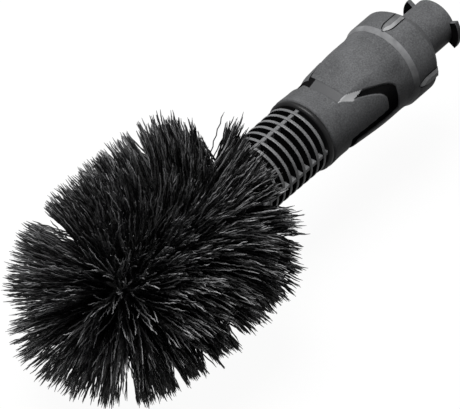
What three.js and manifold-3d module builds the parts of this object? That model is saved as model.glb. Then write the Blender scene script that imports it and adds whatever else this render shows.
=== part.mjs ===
// A hand brush for washing wheel rims, fed with water through the bayonet at its rear end.
// The tool lies along X: the bayonet's mouth is at the low end, the bristle tips are at the high end.
// Sizes are in millimetres, +Z is up, and the grip's panel faces up.
import * as THREE from "three";
import { mergeVertices } from "three/addons/utils/BufferGeometryUtils.js";
import Module from "manifold-3d";

const wasm = await Module();
wasm.setup();

// ---- driving dimensions ----

const fitGap = 0.3; // between pieces that touch
const overcut = 1; // of a cutting tool past what it cuts
const weld = 1e-3; // corners this close are one corner
const roundSides = 40; // sides of a large turned shape
const smallSides = 16; // sides of a small one
const neckSides = 28; // sides of the neck's rings

// bayonet coupling
const spigotRadius = 12;
const spigotLength = 18.6;
const spigotWall = 2.2;
const spigotChamfer = 0.5;
const lugHeight = 3.9;
const lugThickness = 2.4;
const lugSetbacks = [0.6, 2.2]; // of the right and left lugs, so that it goes in one way round
const lugArc = 60; // degrees
const shoulderLength = 9.5;
const shoulderTurn = [0.45, 0.7]; // the curve's turning point, as shares of the shoulder's run and rise
const shoulderSteps = 6;
const rearRadius = 22.5;
const rearLength = 15.9;
const rearChamfer = [3, 1.2]; // at its front edge: along it and inwards
const rearWall = 2.6;
const ribCount = 4;
const ribWidth = 5;
const ribHeight = 1.3; // above the rear body
const ribFlank = 1.3; // the width of each sloping side
const ribLength = 13.6;
const ribOverhang = 0.6; // of its square end over the shoulder
const ribPoint = 5;
const ribFoot = 0.6; // of the rib below the rear body's skin

// grip sleeve
const gripLength = 56.8;
const gripWall = 3;
const gripFrontRadius = 19.2;
const gripWaistRadius = 18.9;
const gripWaistPlace = 8.4; // from the front edge
const gripSwellRadius = 20.8;
const gripSwellPlace = 44; // from the front edge
const gripRearLength = 4; // over which it narrows to meet the rear body
const panelRise = 1; // of the panel above the finger pads
const panelHalfAngle = 30; // degrees from the panel's middle to its front corners
const scoopAngle = 82; // degrees from the panel's middle to the finger scoop's middle
const scoopFloorAngle = 96; // and to the scoop's lower side
const bandDepth = 0.5;
const bandEdge = 0.8;
const bandFront = [12.9, 18.7]; // the band's two edges at the panel's front, from the front edge
const bandBack = [38.6, 46.4]; // and behind the finger scoop
const bandFlare = [0.82, 0.96]; // millimetres back for each degree round, beside the panel
const bandArm = 14; // degrees, the band's width below the scoop
const bandRounding = 9;
const gripSides = 48;
const gripFrontChamfer = 0.7;
const undersideRise = 0.5; // of the underside, the panel's fellow below
const scoopFloorSlope = 5; // how steeply the band's lower arm runs, in millimetres for each degree

// neck cage
const neckGap = 0.4; // the seam between sleeve and flange
const flangeLength = 2.6;
const flangeRadius = 19;
const flangeRounding = 0.9;
const ringCount = 10;
const ringPitch = 4.92;
const ringWidth = 1.8;
const firstGap = 2; // from the flange to the first ring
const ringRadius = 17.85;
const ringTaper = 0.04; // off the radius at each ring
const barCount = 4;
const barDrop = 0.5; // of the bars below the rings
const barWidth = 2.1;
const barTurn = -2.8; // degrees from the panel's middle to the first bar
const cageRadius = 13.2; // of the tube that the rings stand on
const cageWall = 1.7;
const endPlate = 2.4;
const linerWall = 1.3;

// bristle head
const coreRadius = 12.6;
const headGap = 3; // from the last ring to the head
const spindleRadius = 5.6;
const spindleBore = 2.4;
const spindleInset = 13; // of the spindle in the neck
const outletRadius = 0.9;
const outletCount = 4; // in each slice
const sliceLength = 18;
const noseSliceLength = 34;
const noseSteps = 5;
const coreSides = 26;
const spindleSetback = 8; // of the spindle's end from the core's end
const spindleGrooveDepth = 1;
const washerOuterRadius = 10;
const plugInset = 6; // of the nose plug in the spindle
const plugProud = 1.2;
const plugRounding = 0.6;
const strandWidth = 1.25;
const tipShare = 0.5; // of a strand's width left at its tip
const strandSink = 2; // into the core
const brushRadius = 59.4;
const fullReach = brushRadius - coreRadius;

// Each slice of the core with its rings of strands: how many there are, how far they lean from square
// (in degrees, forwards is positive) at its first and last ring, and how long they are there.
const slices = [
  {
    name: "rear_bristles",
    length: sliceLength,
    rings: [26, 26, 26],
    lean: [-14, -6],
    reach: [0.73 * fullReach, 0.95 * fullReach],
  },
  {
    name: "middle_bristles",
    length: sliceLength,
    rings: [26, 26, 26],
    lean: [-3, 3],
    reach: [fullReach, fullReach],
  },
  {
    name: "front_bristles",
    length: sliceLength,
    rings: [26, 26, 26],
    lean: [8, 17],
    reach: [fullReach, 1.035 * fullReach],
  },
  {
    name: "nose_bristles",
    length: noseSliceLength,
    rings: [26, 26, 20, 16, 9],
    lean: [24, 80],
    reach: [1.045 * fullReach, fullReach],
  },
];

// water path
const socketDepth = 2.6; // from the spigot's mouth to the nipple's end
const nippleRadius = 5.4;
const nippleBore = 1.8;
const nippleFlange = 2;
const cupRadius = 8; // the nipple's rear end is a cup for the reducer and the tube
const cupWall = 1.4;
const cupDepth = 13;
const grooveSetback = 1.4; // from the nipple's end to its seal groove
const grooveDepth = 1.3;
const sealSection = 0.85; // radius of the nipple seal's section
const backingLength = 0.9;
const bulkhead = 3; // the wall that carries the nipple
const clipThickness = 1.2;
const clipRim = 2.6; // of a clip beyond the groove that it sits in
const clipOpening = 0.6; // half the clip's gap, as a share of the groove's radius
const reducerThickness = 2;
const reducerHole = 0.6;
const sealThickness = 1.2;
const tubeRadius = 4;
const tubeWall = 1.2;
const tubeOverlap = 6; // of the water tube in the spindle
const tubeSealLength = 2.2;
const glandRim = 2; // of the gland outside the cup
const lockRingLength = 5;
const lockRingWall = 1.6;
const tenonLength = 9; // of the grip sleeve in the rear body
const tenonWall = 2.2;
const cageTenonLength = 12; // of the cage in the grip sleeve

// ---- places along X that follow from them ----

const rearStart = spigotLength + shoulderLength;
const rearEnd = rearStart + rearLength;
const gripStart = rearEnd + fitGap;
const gripEnd = gripStart + gripLength;
const flangeStart = gripEnd + neckGap;
const flangeEnd = flangeStart + flangeLength;
const firstRing = flangeEnd + firstGap + ringWidth / 2;
const lastRing = firstRing + (ringCount - 1) * ringPitch;
const cageEnd = lastRing + ringWidth / 2;
const headStart = cageEnd + headGap;
const headLength = slices.reduce((sum, slice) => sum + slice.length, 0);
const headEnd = headStart + headLength;

// ---- making solids ----

// A closed geometry as a solid that can be joined and cut. A solid stays as it is.
function solidOf(shape) {
  if (!shape.isBufferGeometry) return shape;
  const loose = shape.index ? shape.toNonIndexed() : shape;
  const bare = new THREE.BufferGeometry();
  bare.setAttribute("position", loose.getAttribute("position"));
  const merged = mergeVertices(bare, weld);
  const corners = [];
  for (let i = 0; i < merged.index.count; i += 3) {
    const [a, b, c] = [0, 1, 2].map((k) => merged.index.getX(i + k));
    if (a !== b && b !== c && a !== c) corners.push(a, b, c);
  }
  const mesh = new wasm.Mesh({
    numProp: 3,
    vertProperties: merged.attributes.position.array,
    triVerts: new Uint32Array(corners),
  });
  return new wasm.Manifold(mesh);
}

const join = (...shapes) => shapes.map(solidOf).reduce((a, b) => a.add(b));

const cut = (shape, ...tools) =>
  tools.map(solidOf).reduce((a, b) => a.subtract(b), solidOf(shape));

// Turned about X. The profile's points are [x, radius], outside first towards +X, then back inside.
function turned(profile, sides = roundSides) {
  const points = profile.map(([x, radius]) => new THREE.Vector2(radius, x));
  return new THREE.LatheGeometry(points, sides).rotateZ(-Math.PI / 2);
}

const rod = (start, end, radius, sides = roundSides) =>
  turned([[start, 0], [start, radius], [end, radius], [end, 0]], sides);

function tube(start, end, radius, bore, sides = roundSides) {
  const first = [start, radius];
  return turned([first, [end, radius], [end, bore], [start, bore], first], sides);
}

// An outline in (y, z), run along X.
function alongX(outline, start, length) {
  const settings = { depth: length, bevelEnabled: false, curveSegments: 12 };
  const run = new THREE.ExtrudeGeometry(outline, settings);
  return run.rotateZ(Math.PI / 2).rotateY(Math.PI / 2).translate(start, 0, 0);
}

// An outline in (x, y), raised along Z.
function raised(outline, floor, top) {
  const settings = { depth: top - floor, bevelEnabled: false, curveSegments: 6 };
  return new THREE.ExtrudeGeometry(outline, settings).translate(0, 0, floor);
}

function block(x0, x1, y0, y1, z0, z1) {
  const box = new THREE.BoxGeometry(x1 - x0, y1 - y0, z1 - z0);
  return box.translate((x0 + x1) / 2, (y0 + y1) / 2, (z0 + z1) / 2);
}

// Turned from the top towards +Y by some degrees.
const turnedBy = (geometry, degrees) =>
  geometry.clone().rotateX(-THREE.MathUtils.degToRad(degrees));

function allRound(geometry, count, firstDegrees = 0) {
  const copies = [];
  for (let i = 0; i < count; i++) {
    copies.push(turnedBy(geometry, firstDegrees + (360 * i) / count));
  }
  return copies;
}

// ---- materials and parts ----

const plastic = (color, roughness) =>
  new THREE.MeshStandardMaterial({ color, roughness });
const metal = (color, roughness) =>
  new THREE.MeshStandardMaterial({ color, roughness, metalness: 1 });
const mouldedGrey = plastic(0x35373a, 0.55);
const mouldedBlack = plastic(0x1b1c1d, 0.5);
const bristleBlack = plastic(0x0c0c0d, 0.45);
const sealRubber = plastic(0x111111, 0.8);
const milkyTube = plastic(0xd8dcd8, 0.4);
const brass = metal(0xb8954a, 0.35);
const steel = metal(0xb9bbbd, 0.3);

// Its origin is under the middle of the tool, on the surface that the lowest bristles touch.
const brush = new THREE.Group();

function addPart(name, shape, material) {
  const made = solidOf(shape).getMesh();
  const geometry = new THREE.BufferGeometry();
  const positions = new THREE.BufferAttribute(made.vertProperties, 3);
  geometry.setAttribute("position", positions);
  geometry.setIndex(new THREE.BufferAttribute(made.triVerts, 1));
  geometry.computeVertexNormals();
  const mesh = new THREE.Mesh(geometry, material);
  mesh.name = name;
  brush.add(mesh);
}

// ---- bayonet coupling: spigot, lugs, domed shoulder with ribs, and round rear body ----

const spigotBore = spigotRadius - spigotWall;
const rearBore = rearRadius - rearWall;
const bulkheadStart = spigotLength - bulkhead;
const hollowStart = spigotLength + rearWall;

function shoulderProfile() {
  const foot = new THREE.Vector2(spigotLength, spigotRadius);
  const top = new THREE.Vector2(rearStart, rearRadius);
  const turn = new THREE.Vector2(
    THREE.MathUtils.lerp(foot.x, top.x, shoulderTurn[0]),
    THREE.MathUtils.lerp(foot.y, top.y, shoulderTurn[1]),
  );
  const curve = new THREE.QuadraticBezierCurve(foot, turn, top);
  return curve.getPoints(shoulderSteps).map((p) => [p.x, p.y]);
}

const couplingSkin = turned([
  [0, 0],
  [0, spigotRadius - spigotChamfer],
  [spigotChamfer, spigotRadius],
  ...shoulderProfile(),
  [rearEnd - rearChamfer[0], rearRadius],
  [rearEnd, rearRadius - rearChamfer[1]],
  [rearEnd, 0],
]);

const socket = rod(-overcut, bulkheadStart, spigotBore);
const rearHollow = turned([
  [hollowStart, 0],
  [hollowStart, spigotBore],
  [rearStart, rearBore],
  [rearEnd + overcut, rearBore],
  [rearEnd + overcut, 0],
]);
const nippleSeat = rod(
  bulkheadStart - overcut,
  hollowStart + overcut,
  nippleRadius + fitGap,
  smallSides,
);

function sector(inner, outer, degrees) {
  const half = THREE.MathUtils.degToRad(degrees) / 2;
  const outline = new THREE.Shape();
  outline.absarc(0, 0, outer, -half, half, false);
  outline.absarc(0, 0, inner, half, -half, true);
  return outline;
}

const lugOutline = sector(spigotRadius - spigotWall / 2, spigotRadius + lugHeight, lugArc);
const lugs = lugSetbacks.map((setback, i) =>
  turnedBy(alongX(lugOutline, setback, lugThickness), 180 * i),
);

const ribStart = rearStart - ribOverhang;

// A rib's outline: square at the rear, pointed at the front.
function ribOutline() {
  const half = ribWidth / 2;
  const tip = ribStart + ribLength;
  const turn = tip - ribPoint / 3;
  const outline = new THREE.Shape();
  outline.moveTo(ribStart, -half);
  outline.lineTo(tip - ribPoint, -half);
  outline.quadraticCurveTo(turn, -half, tip, 0);
  outline.quadraticCurveTo(turn, half, tip - ribPoint, half);
  outline.lineTo(ribStart, half);
  return outline;
}

// Its sides slope in to a narrow top.
const rib = new THREE.ExtrudeGeometry(ribOutline(), {
  depth: ribFoot,
  curveSegments: 3,
  bevelThickness: ribHeight,
  bevelSize: ribFlank,
  bevelOffset: -ribFlank,
  bevelSegments: 1,
}).translate(0, 0, rearRadius - ribFoot);

addPart(
  "bayonet_coupling",
  cut(
    join(couplingSkin, ...lugs, ...allRound(rib, ribCount)),
    socket,
    rearHollow,
    nippleSeat,
  ),
  mouldedGrey,
);

// ---- water inlet in the spigot: nipple with its seals, clip and pressure reducer ----

const nippleEnd = socketDepth;
const flangeFace = hollowStart + fitGap;
const cupStart = flangeFace + nippleFlange;
const cupFloor = cupStart + cupWall;
const cupEnd = cupFloor + cupDepth;
const cupBore = cupRadius - cupWall;
const sealGroove = nippleEnd + grooveSetback;
const sealGrooveEnd = sealGroove + 2 * sealSection + backingLength + 2 * fitGap;
const clipGrooveEnd = bulkheadStart - fitGap;
const clipGroove = clipGrooveEnd - clipThickness - fitGap;
const grooveRadius = nippleRadius - grooveDepth;

addPart(
  "inlet_nipple",
  turned([
    [nippleEnd, nippleBore],
    [nippleEnd, nippleRadius],
    [sealGroove, nippleRadius],
    [sealGroove, grooveRadius],
    [sealGrooveEnd, grooveRadius],
    [sealGrooveEnd, nippleRadius],
    [clipGroove, nippleRadius],
    [clipGroove, grooveRadius],
    [clipGrooveEnd, grooveRadius],
    [clipGrooveEnd, nippleRadius],
    [flangeFace, nippleRadius],
    [flangeFace, cupRadius],
    [cupEnd, cupRadius],
    [cupEnd, cupBore],
    [cupFloor, cupBore],
    [cupFloor, nippleBore],
    [nippleEnd, nippleBore],
  ], smallSides),
  brass,
);

// A round-section ring: its middle along X, its inner radius and its section's radius.
function roundRing(middle, innerRadius, section) {
  const ring = new THREE.TorusGeometry(innerRadius + section, section, 8, smallSides);
  return ring.rotateY(Math.PI / 2).translate(middle, 0, 0);
}

addPart(
  "nipple_o_ring",
  roundRing(sealGroove + fitGap / 2 + sealSection, grooveRadius + fitGap / 2, sealSection),
  sealRubber,
);
addPart(
  "nipple_backing_ring",
  tube(
    sealGrooveEnd - backingLength - fitGap / 2,
    sealGrooveEnd - fitGap / 2,
    nippleRadius,
    grooveRadius + fitGap / 2,
    smallSides,
  ),
  milkyTube,
);

// A spring clip: a ring with a gap on its lower side.
function clip(start, shaftRadius) {
  const ring = tube(
    start,
    start + clipThickness,
    shaftRadius + clipRim,
    shaftRadius + fitGap / 2,
    smallSides,
  );
  const reach = shaftRadius + clipRim + overcut;
  const halfGap = shaftRadius * clipOpening;
  const gap = block(start - overcut, start + clipThickness + overcut, -halfGap, halfGap, -reach, 0);
  return cut(ring, gap);
}

addPart("nipple_clip", clip(clipGroove + fitGap / 2, grooveRadius), steel);

const washerRadius = cupBore - fitGap;
const flatSealStart = cupFloor + fitGap;
const reducerStart = flatSealStart + sealThickness + fitGap;
const tubeStart = reducerStart + reducerThickness + fitGap;
addPart(
  "reducer_seal",
  tube(flatSealStart, flatSealStart + sealThickness, washerRadius, nippleBore, smallSides),
  sealRubber,
);
addPart(
  "pressure_reducer",
  tube(reducerStart, reducerStart + reducerThickness, washerRadius, reducerHole, smallSides),
  brass,
);
const tubeSealStart = tubeStart + fitGap;
addPart(
  "tube_rear_seal",
  tube(
    tubeSealStart,
    tubeSealStart + tubeSealLength,
    washerRadius,
    tubeRadius + fitGap,
    smallSides,
  ),
  sealRubber,
);
const glandStart = tubeSealStart + tubeSealLength + fitGap;
addPart(
  "tube_gland",
  turned([
    [glandStart, tubeRadius + fitGap],
    [glandStart, washerRadius],
    [cupEnd + fitGap, washerRadius],
    [cupEnd + fitGap, cupRadius],
    [cupEnd + glandRim, cupRadius],
    [cupEnd + glandRim, tubeRadius + fitGap],
    [glandStart, tubeRadius + fitGap],
  ], smallSides),
  mouldedBlack,
);

// ---- grip sleeve: waisted, with a raised panel above, finger scoops beside it and a polished band ----

const gripRearStart = gripLength - gripRearLength;
const gripRearRadius = rearRadius - rearChamfer[1];
const mix = THREE.MathUtils.lerp;
const ease = THREE.MathUtils.smoothstep;

function smoothMin(a, b, rounding) {
  const share = THREE.MathUtils.clamp(0.5 + (b - a) / (2 * rounding), 0, 1);
  return mix(b, a, share) - rounding * share * (1 - share);
}

// One edge of the band, as a distance from the sleeve's front edge. The angle runs from the panel's middle.
function bandPlace(angle, front, back, flare, floorAngle) {
  const flank = front + flare * Math.max(0, angle - panelHalfAngle);
  const arm = front + scoopFloorSlope * Math.max(0, floorAngle - angle);
  return Math.max(front, smoothMin(smoothMin(flank, back, bandRounding), arm, bandRounding));
}

function lowRadius(place) {
  const toWaist = mix(gripFrontRadius, gripWaistRadius, ease(place, 0, gripWaistPlace));
  return mix(toWaist, gripSwellRadius, ease(place, gripWaistPlace, gripSwellPlace));
}

function highRadius(place, angle) {
  const rise = panelRise * (1 - ease(angle, panelHalfAngle, scoopAngle));
  const body = lowRadius(place) + Math.max(rise, undersideRise * ease(angle, scoopAngle, 180));
  return mix(body, gripRearRadius, ease(place, gripRearStart, gripLength));
}

// The stations of one lengthwise line of the sleeve, each a place along it and a radius there.
function gripLine(degrees) {
  const angle = Math.abs(degrees);
  const inner = bandPlace(angle, bandFront[0], bandBack[0], bandFlare[0], scoopFloorAngle);
  const outer = bandPlace(
    angle,
    bandFront[1],
    bandBack[1],
    bandFlare[1],
    scoopFloorAngle + bandArm,
  );
  const low = (place) => [place, lowRadius(place)];
  const high = (place) => [place, highRadius(place, angle)];
  const floor = (place, share) => [
    place,
    mix(lowRadius(place), highRadius(place, angle), share) - bandDepth,
  ];
  return [
    [0, gripFrontRadius - gripFrontChamfer],
    low(gripFrontChamfer),
    low(gripWaistPlace / 2),
    low(gripWaistPlace),
    low(mix(gripWaistPlace, inner, 0.5)),
    low(inner),
    floor(inner + bandEdge, 0),
    floor(outer - bandEdge, 1),
    high(outer),
    high(mix(outer, gripRearStart, 0.5)),
    high(gripRearStart),
    high(gripLength),
  ];
}

// The sleeve's skin, closed at both ends by a disc.
function gripSkin() {
  const lines = [];
  for (let i = 0; i < gripSides; i++) {
    const degrees = (360 * i) / gripSides;
    const angle = THREE.MathUtils.degToRad(degrees);
    lines.push(
      gripLine(degrees > 180 ? degrees - 360 : degrees).map(([place, radius]) => [
        gripEnd - place,
        radius * Math.sin(angle),
        radius * Math.cos(angle),
      ]),
    );
  }
  const corners = [];
  lines.forEach((line, i) => {
    const next = lines[(i + 1) % gripSides];
    for (let k = 0; k + 1 < line.length; k++) {
      corners.push(line[k], next[k + 1], line[k + 1], line[k], next[k], next[k + 1]);
    }
    const last = line.length - 1;
    corners.push([gripEnd, 0, 0], next[0], line[0]);
    corners.push([gripStart, 0, 0], line[last], next[last]);
  });
  const geometry = new THREE.BufferGeometry();
  const positions = new THREE.Float32BufferAttribute(corners.flat(), 3);
  return geometry.setAttribute("position", positions);
}

const gripBore = gripWaistRadius - gripWall;
const tenonRadius = rearBore - fitGap;
const tenonStart = gripStart - tenonLength;
const lockRingRadius = tenonRadius - tenonWall - fitGap;

addPart(
  "grip_sleeve",
  cut(
    join(gripSkin(), rod(tenonStart, gripStart + gripWall, tenonRadius)),
    rod(gripStart, gripEnd + overcut, gripBore),
    rod(tenonStart - overcut, gripStart + gripWall, tenonRadius - tenonWall),
  ),
  mouldedGrey,
);
addPart(
  "sleeve_lock_ring",
  tube(
    tenonStart + fitGap,
    tenonStart + fitGap + lockRingLength,
    lockRingRadius,
    lockRingRadius - lockRingWall,
  ),
  steel,
);

// ---- neck: a cage of rings and bars in one moulding, and the liner seen between its rings ----

const cageBore = cageRadius - cageWall;
const cageTenon = gripBore - fitGap;
const cageStart = flangeStart - cageTenonLength;
const spindleHole = spindleRadius + fitGap;

function cageProfile() {
  const outside = [
    [cageStart, cageTenon],
    [flangeStart, cageTenon],
    [flangeStart, flangeRadius],
    [flangeEnd - flangeRounding, flangeRadius],
    [flangeEnd, flangeRadius - flangeRounding],
    [flangeEnd, cageRadius],
  ];
  for (let i = 0; i < ringCount; i++) {
    const middle = firstRing + i * ringPitch;
    const radius = ringRadius - i * ringTaper;
    outside.push(
      [middle - ringWidth / 2, cageRadius],
      [middle - ringWidth / 2, radius],
      [middle + ringWidth / 2, radius],
      [middle + ringWidth / 2, i < ringCount - 1 ? cageRadius : spindleHole],
    );
  }
  return [
    ...outside,
    [cageEnd - endPlate, spindleHole],
    [cageEnd - endPlate, cageBore],
    [cageStart, cageBore],
    outside[0],
  ];
}

const bar = block(
  flangeEnd - flangeRounding,
  lastRing,
  -barWidth / 2,
  barWidth / 2,
  cageRadius - cageWall / 2,
  ringRadius - barDrop,
);

addPart(
  "neck_cage",
  join(turned(cageProfile(), neckSides), ...allRound(bar, barCount, barTurn)),
  mouldedBlack,
);

const linerRadius = cageBore - fitGap;
addPart(
  "neck_liner",
  tube(cageStart, cageEnd - endPlate - fitGap, linerRadius, linerRadius - linerWall, neckSides),
  mouldedBlack,
);

// ---- spindle: carries the slices of the core and lets the water out between them ----

const spindleStart = headStart - spindleInset;
const spindleEnd = headEnd - spindleSetback;
const tubeEnd = spindleStart + tubeOverlap;
const spindleClipStart = cageEnd - endPlate - fitGap - clipThickness;
const spindleGroove = spindleRadius - spindleGrooveDepth;
const outletPlaces = slices.map((slice, i) => sliceStart(i) + slice.length / slice.rings.length);

function sliceStart(index) {
  return slices.slice(0, index).reduce((x, slice) => x + slice.length, headStart);
}

function outlets(place, outerRadius) {
  const hole = new THREE.CylinderGeometry(outletRadius, outletRadius, outerRadius, 8);
  hole.rotateX(Math.PI / 2).translate(place, 0, outerRadius / 2 + outletRadius);
  return allRound(hole, outletCount);
}

const spindleBody = turned([
  [spindleStart, tubeRadius + fitGap],
  [spindleStart, spindleRadius],
  [spindleClipStart - fitGap / 2, spindleRadius],
  [spindleClipStart - fitGap / 2, spindleGroove],
  [spindleClipStart + clipThickness + fitGap / 2, spindleGroove],
  [spindleClipStart + clipThickness + fitGap / 2, spindleRadius],
  [spindleEnd, spindleRadius],
  [spindleEnd, spindleBore],
  [tubeEnd + sealThickness + 2 * fitGap, spindleBore],
  [tubeEnd + sealThickness + 2 * fitGap, tubeRadius + fitGap],
  [spindleStart, tubeRadius + fitGap],
], smallSides);

addPart(
  "core_spindle",
  cut(spindleBody, ...outletPlaces.flatMap((x) => outlets(x, spindleRadius + overcut))),
  mouldedBlack,
);
addPart("spindle_clip", clip(spindleClipStart, spindleGroove), steel);
addPart(
  "core_washer",
  tube(cageEnd + fitGap, headStart - fitGap, washerOuterRadius, spindleHole, smallSides),
  steel,
);
addPart(
  "water_tube",
  tube(tubeStart, tubeEnd, tubeRadius, tubeRadius - tubeWall, smallSides),
  milkyTube,
);
addPart(
  "tube_front_seal",
  tube(
    tubeEnd + fitGap,
    tubeEnd + fitGap + sealThickness,
    tubeRadius,
    spindleBore,
    smallSides,
  ),
  sealRubber,
);

// ---- bristle head: four slices of the core, each with its strands ----

// The core is round and straight, and its nose is half a ball.
function coreRadiusAt(x) {
  const share = THREE.MathUtils.clamp((x - (headEnd - coreRadius)) / coreRadius, 0, 1);
  return coreRadius * Math.sqrt(1 - share * share);
}

const leanAt = (slice, share) => mix(slice.lean[0], slice.lean[1], share);
const reachAt = (slice, share) => mix(slice.reach[0], slice.reach[1], share);

// One strand: three-sided, from inside the core to its thinner tip.
function strandCorners(rootX, rootRadius, degrees, leanDegrees, reach) {
  const round = THREE.MathUtils.degToRad(degrees);
  const lean = THREE.MathUtils.degToRad(leanDegrees);
  const outward = new THREE.Vector3(0, Math.sin(round), Math.cos(round));
  const sideways = new THREE.Vector3(0, Math.cos(round), -Math.sin(round));
  const along = outward.clone().multiplyScalar(Math.cos(lean));
  along.x = Math.sin(lean);
  const across = along.clone().cross(sideways);
  const root = outward.clone().multiplyScalar(rootRadius).setX(rootX);
  const sections = [
    { at: -strandSink, width: strandWidth },
    { at: reach, width: strandWidth * tipShare },
  ].map(({ at, width }) =>
    [0, 1, 2].map((k) => {
      const turn = (2 * Math.PI * k) / 3;
      const corner = root.clone().addScaledVector(along, at);
      corner.addScaledVector(across, (width / 2) * Math.sin(turn));
      corner.addScaledVector(sideways, (width / 2) * Math.cos(turn));
      return corner.toArray();
    }),
  );
  const [near, far] = sections;
  const corners = [near[0], near[2], near[1], far[0], far[1], far[2]];
  for (let k = 0; k < 3; k++) {
    const next = (k + 1) % 3;
    corners.push(near[k], near[next], far[next], near[k], far[next], far[k]);
  }
  return corners;
}

function strandsOf(slice, start) {
  const corners = [];
  slice.rings.forEach((count, ring) => {
    const x = start + (slice.length * (ring + 0.5)) / slice.rings.length;
    const share = ring / (slice.rings.length - 1);
    for (let i = 0; i < count; i++) {
      const degrees = (360 * (i + (ring % 2) / 2)) / count;
      const lean = leanAt(slice, share);
      corners.push(...strandCorners(x, coreRadiusAt(x), degrees, lean, reachAt(slice, share)));
    }
  });
  const geometry = new THREE.BufferGeometry();
  const positions = new THREE.Float32BufferAttribute(corners.flat(), 3);
  return geometry.setAttribute("position", positions);
}

function slicePlaces(start, end) {
  const roundStart = headEnd - coreRadius;
  if (end <= roundStart) return [start, end];
  const places = [start, roundStart];
  for (let i = 1; i <= noseSteps; i++) {
    const share = Math.sin((Math.PI / 2) * (i / noseSteps));
    places.push(roundStart + (end - roundStart) * share);
  }
  return places;
}

slices.forEach((slice, i) => {
  const start = sliceStart(i);
  const isNose = i === slices.length - 1;
  const end = start + slice.length - (isNose ? 0 : fitGap);
  const skin = slicePlaces(start, end).map((x) => [x, coreRadiusAt(x)]);
  const core = turned([[start, 0], ...skin, ...(isNose ? [] : [[end, 0]])], coreSides);
  const bore = isNose
    ? join(
        rod(start - overcut, spindleEnd + fitGap, spindleHole, smallSides),
        rod(spindleEnd, end + overcut, spindleBore, smallSides),
      )
    : rod(start - overcut, end + overcut, spindleHole, smallSides);
  addPart(
    slice.name,
    cut(
      join(core, strandsOf(slice, start)),
      bore,
      ...outlets(outletPlaces[i], coreRadius + overcut),
    ),
    bristleBlack,
  );
});

const plugRadius = spindleBore - fitGap;

addPart(
  "nose_plug",
  turned([
    [spindleEnd - plugInset, 0],
    [spindleEnd - plugInset, plugRadius],
    [headEnd + plugProud - plugRounding, plugRadius],
    [headEnd + plugProud, plugRadius - plugRounding],
    [headEnd + plugProud, 0],
  ], smallSides),
  mouldedBlack,
);

// The origin is on the surface that the lowest bristles touch, under the middle of the tool's length.
const nose = slices[slices.length - 1];
const lastRingX = headEnd - nose.length / nose.rings.length / 2;
const noseLean = THREE.MathUtils.degToRad(nose.lean[1]);
const toolLength = lastRingX + nose.reach[1] * Math.sin(noseLean);
brush.position.set(-toolLength / 2, 0, brushRadius);

export default brush;
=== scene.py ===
import math

import bmesh
import bpy
import numpy as np
from mathutils import Matrix, Vector


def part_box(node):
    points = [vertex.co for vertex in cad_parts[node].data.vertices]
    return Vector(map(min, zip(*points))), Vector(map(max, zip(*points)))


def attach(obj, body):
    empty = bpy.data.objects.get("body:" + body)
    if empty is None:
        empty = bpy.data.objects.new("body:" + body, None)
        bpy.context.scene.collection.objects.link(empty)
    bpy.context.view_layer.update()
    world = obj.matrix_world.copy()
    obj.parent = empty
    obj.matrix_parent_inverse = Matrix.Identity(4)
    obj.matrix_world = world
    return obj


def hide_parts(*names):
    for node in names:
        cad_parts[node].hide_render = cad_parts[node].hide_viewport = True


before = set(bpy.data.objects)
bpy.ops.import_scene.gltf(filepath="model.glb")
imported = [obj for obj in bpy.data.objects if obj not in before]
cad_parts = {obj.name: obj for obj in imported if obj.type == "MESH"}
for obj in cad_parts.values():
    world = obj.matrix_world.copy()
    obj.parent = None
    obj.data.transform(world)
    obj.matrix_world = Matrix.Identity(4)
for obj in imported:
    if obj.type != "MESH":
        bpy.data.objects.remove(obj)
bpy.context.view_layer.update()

# ---- Floor, studio light and camera ----
# The brush is seen through a long lens from above its bristles and its left side. A large softbox
# hangs over it, a small one stands at the right of the picture, and the floor glows pale.

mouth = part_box("bayonet_coupling")[0].x
camera_place = Vector((mouth + 1.42107, 1.0749, 1.6489))
camera_right = Vector((-0.6323, 0.7745, -0.0201))
camera_back = Vector((0.5500, 0.4670, 0.6924))
lens_length = 391.3
sensor_width = 36

camera = bpy.data.objects.new("camera", bpy.data.cameras.new("camera"))
camera.data.lens = lens_length
camera.data.sensor_width = sensor_width
camera_up = camera_back.cross(camera_right)
camera_turn = Matrix((camera_right, camera_up, camera_back)).transposed()
camera.matrix_world = Matrix.Translation(camera_place) @ camera_turn.to_4x4()
bpy.context.scene.collection.objects.link(camera)
bpy.context.scene.camera = camera
bpy.context.scene.view_settings.view_transform = "Standard"


def softbox(name, direction, distance, size, watts):
    """A soft rectangular lamp that faces the brush from this direction, its first side along Y."""
    lamp = bpy.data.objects.new(name, bpy.data.lights.new(name, "AREA"))
    lamp.data.shape = "RECTANGLE"
    lamp.data.size, lamp.data.size_y = size
    lamp.data.energy = watts
    toward = Vector(direction).normalized()
    across = (Vector((0, 1, 0)) - toward.y * toward).normalized()
    turn = Matrix((across, toward.cross(across), toward)).transposed()
    lamp.matrix_world = Matrix.Translation(toward * distance) @ turn.to_4x4()
    bpy.context.scene.collection.objects.link(lamp)


softbox("overhead_softbox", (0.04, -0.14, 0.98), distance=1.2, size=(0.7, 0.8), watts=20.5)
softbox("right_softbox", (-0.55, 0.757, 0.355), distance=1.3, size=(0.2, 0.2), watts=0.4)


def new_material(name):
    """A material, with its tree of nodes and its shader."""
    material = bpy.data.materials.new(name)
    material.use_nodes = True
    return material, material.node_tree, material.node_tree.nodes["Principled BSDF"]


def feed(tree, socket, value):
    """Gives a node's input its value: another node's output, or a plain number or colour."""
    if isinstance(value, bpy.types.NodeSocket):
        tree.links.new(value, socket)
    else:
        socket.default_value = value


def reckoned(tree, operation, first, second):
    """What one operation makes of two values."""
    node = tree.nodes.new("ShaderNodeMath")
    node.operation = operation
    feed(tree, node.inputs[0], first)
    feed(tree, node.inputs[1], second)
    return node.outputs[0]


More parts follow.
